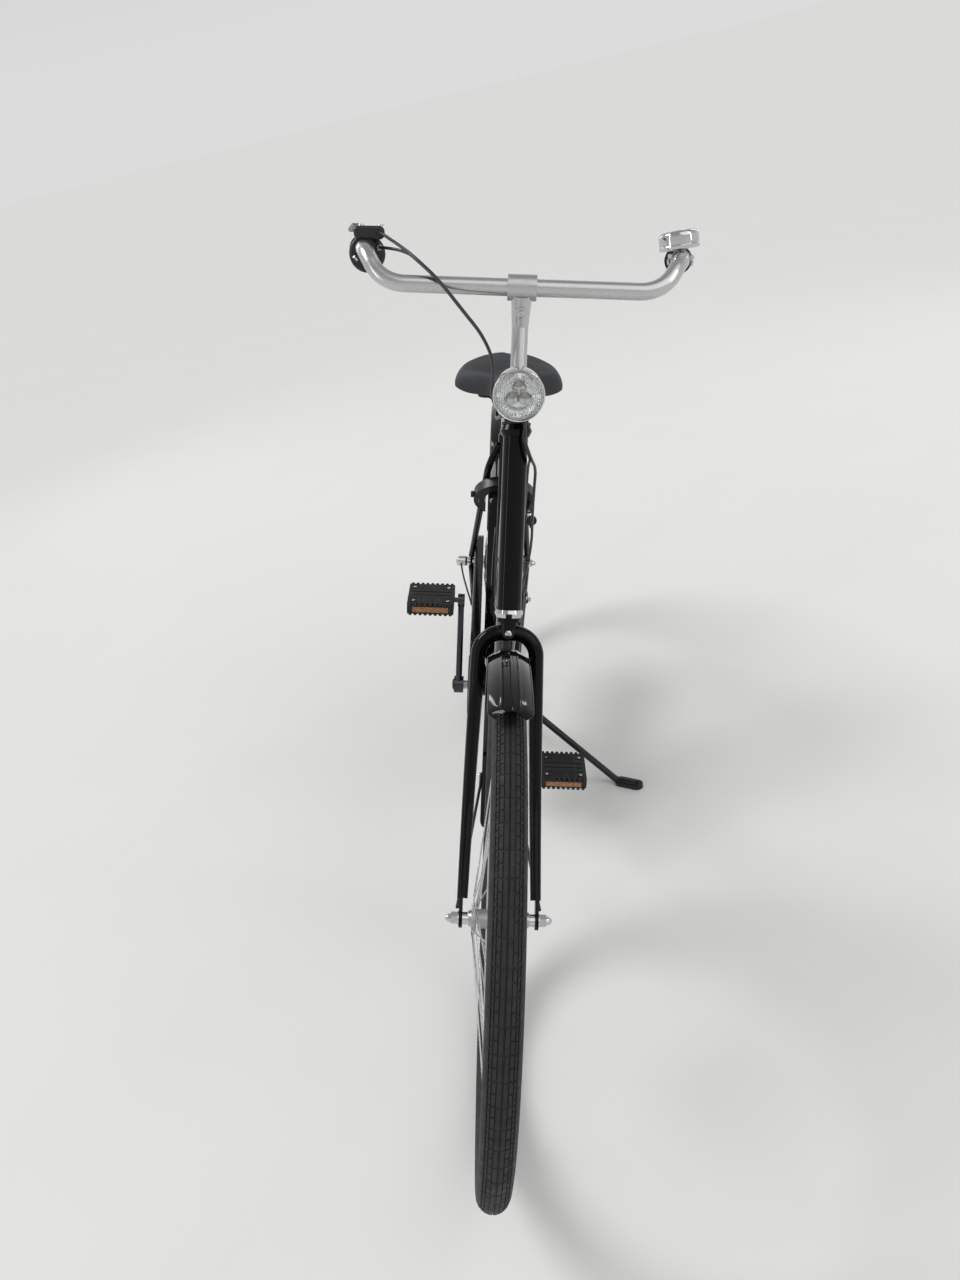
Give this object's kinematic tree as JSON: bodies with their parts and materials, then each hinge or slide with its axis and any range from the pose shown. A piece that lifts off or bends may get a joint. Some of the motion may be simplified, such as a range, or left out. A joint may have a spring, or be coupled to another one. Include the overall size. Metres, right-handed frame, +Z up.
{
  "type": "step-through city bicycle",
  "caption": "Black step-through city bicycle with chain case, mudguards, ring lock and headlamp, leaning on its side stand.",
  "frame": {"origin": "on the ground, under the middle of the parked bicycle's bounding box", "axes": "+Z up, +X to the rider's left, +Y to the rear; the bicycle leans 13.7 degrees to its left"},
  "size_m": [0.591, 1.8464, 1.196],
  "materials": {
    "front_tyre": "black rubber tread",
    "front_rim": "satin",
    "rear_tyre": "black rubber tread",
    "rear_rim": "satin",
    "front_spokes": "bright steel",
    "rear_spokes": "bright steel",
    "front_hub": "satin",
    "rear_hub": "satin",
    "fork": "gloss black paint",
    "front_axle": "polished",
    "head_tube": "gloss black paint",
    "headset_lower_ring": "polished",
    "headset_upper_cup": "gloss black paint",
    "headset_locknut": "gloss black paint",
    "stem": "satin",
    "handlebar": "satin",
    "grip_left": "black rubber",
    "grip_right": "black rubber",
    "gear_shifter": "gloss black",
    "brake_lever": "gloss black",
    "bell": "polished",
    "headlight_shell": "polished",
    "headlight_lens": "clear lens",
    "headlight_reflector": "polished",
    "headlight_bracket": "gloss black paint",
    "front_mudguard": "gloss black paint",
    "rear_mudguard": "gloss black paint",
    "front_mudguard_stays": "satin black paint",
    "rear_mudguard_stays": "satin black paint",
    "seat_tube": "gloss black paint",
    "bottom_bracket_shell": "gloss black paint",
    "down_tube": "gloss black paint",
    "top_tube": "gloss black paint",
    "chain_stay_left": "gloss black paint",
    "seat_stay_left": "gloss black paint",
    "chain_stay_right": "gloss black paint",
    "seat_stay_right": "gloss black paint",
    "rear_dropouts": "gloss black paint",
    "rear_axle": "polished",
    "hub_brake": "bright steel",
    "gear_change_box": "polished",
    "seat_post": "satin",
    "saddle_cover": "smooth black cover",
    "saddle_frame": "matt black",
    "ring_lock": "matt black",
    "lock_key": "matt black",
    "chain_case": "gloss black",
    "crank_spindle": "bright steel",
    "crank_left": "polished",
    "pedal_left": "black rubber",
    "pedal_left_reflectors": "amber reflector",
    "crank_right": "polished",
    "pedal_right": "black rubber",
    "pedal_right_reflectors": "amber reflector",
    "side_stand": "satin black paint",
    "stand_bracket": "satin black paint",
    "control_cables_bar": "black rubber",
    "brake_cable_frame": "black rubber",
    "gear_cable_frame": "black rubber",
    "rear_lamp": "red lens"
  },
  "bodies": {
    "frame": {"head_tube": "head_tube", "headset_lower_ring": "headset_lower_ring", "headset_upper_cup": "headset_upper_cup", "rear_mudguard": "rear_mudguard", "rear_mudguard_stays": "rear_mudguard_stays", "seat_tube": "seat_tube", "bottom_bracket_shell": "bottom_bracket_shell", "down_tube": "down_tube", "top_tube": "top_tube", "chain_stay_left": "chain_stay_left", "seat_stay_left": "seat_stay_left", "chain_stay_right": "chain_stay_right", "seat_stay_right": "seat_stay_right", "rear_dropouts": "rear_dropouts", "rear_axle": "rear_axle", "hub_brake": "hub_brake", "gear_change_box": "gear_change_box", "seat_post": "seat_post", "saddle_cover": "saddle_cover", "saddle_frame": "saddle_frame", "ring_lock": "ring_lock", "lock_key": "lock_key", "chain_case": "chain_case", "stand_bracket": "stand_bracket", "brake_cable_frame": "brake_cable_frame", "gear_cable_frame": "gear_cable_frame", "rear_lamp": "rear_lamp"},
    "steering": {"fork": "fork", "front_axle": "front_axle", "front_mudguard": "front_mudguard", "front_mudguard_stays": "front_mudguard_stays", "headset_locknut": "headset_locknut", "stem": "stem", "handlebar": "handlebar", "grip_left": "grip_left", "grip_right": "grip_right", "gear_shifter": "gear_shifter", "brake_lever": "brake_lever", "bell": "bell", "headlight_shell": "headlight_shell", "headlight_lens": "headlight_lens", "headlight_reflector": "headlight_reflector", "headlight_bracket": "headlight_bracket", "control_cables_bar": "control_cables_bar"},
    "front_wheel": {"front_tyre": "front_tyre", "front_rim": "front_rim", "front_spokes": "front_spokes", "front_hub": "front_hub"},
    "rear_wheel": {"rear_tyre": "rear_tyre", "rear_rim": "rear_rim", "rear_spokes": "rear_spokes", "rear_hub": "rear_hub"},
    "crank": {"crank_spindle": "crank_spindle", "crank_left": "crank_left", "crank_right": "crank_right"},
    "pedal_left": {"pedal_left": "pedal_left", "pedal_left_reflectors": "pedal_left_reflectors"},
    "pedal_right": {"pedal_right": "pedal_right", "pedal_right_reflectors": "pedal_right_reflectors"},
    "side_stand": {"side_stand": "side_stand"}
  },
  "joints": [
    {"name": "steering_turn", "type": "hinge", "parent": "frame", "child": "steering", "pos_m": [-0.05074, -0.34056, 0.69481], "axis": [0.2178, 0.3923, 0.8937], "range_deg": [-60, 60]},
    {"name": "front_wheel_spin", "type": "hinge", "parent": "steering", "child": "front_wheel", "pos_m": [-0.13661, -0.5713, 0.34258], "axis": [0.9715, 0, -0.2368], "continuous": true},
    {"name": "rear_wheel_spin", "type": "hinge", "parent": "frame", "child": "rear_wheel", "pos_m": [-0.13661, 0.5487, 0.34258], "axis": [0.9715, 0, -0.2368], "continuous": true},
    {"name": "crank_turn", "type": "hinge", "parent": "frame", "child": "crank", "pos_m": [-0.15058, 0.1047, 0.28526], "axis": [0.9715, 0, -0.2368], "range_deg": [-299, 0]},
    {"name": "pedal_left_spin", "type": "hinge", "parent": "crank", "child": "pedal_left", "pos_m": [-0.0528, 0.03556, 0.10157], "axis": [0.9715, 0, -0.2368], "continuous": true},
    {"name": "pedal_right_spin", "type": "hinge", "parent": "crank", "child": "pedal_right", "pos_m": [-0.24836, 0.17384, 0.46895], "axis": [0.9715, 0, -0.2368], "continuous": true},
    {"name": "side_stand_fold", "type": "hinge", "parent": "frame", "child": "side_stand", "pos_m": [-0.12091, 0.1307, 0.22965], "axis": [0.7841, -0.0704, 0.6166], "range_deg": [0, 96.6]}
  ]
}
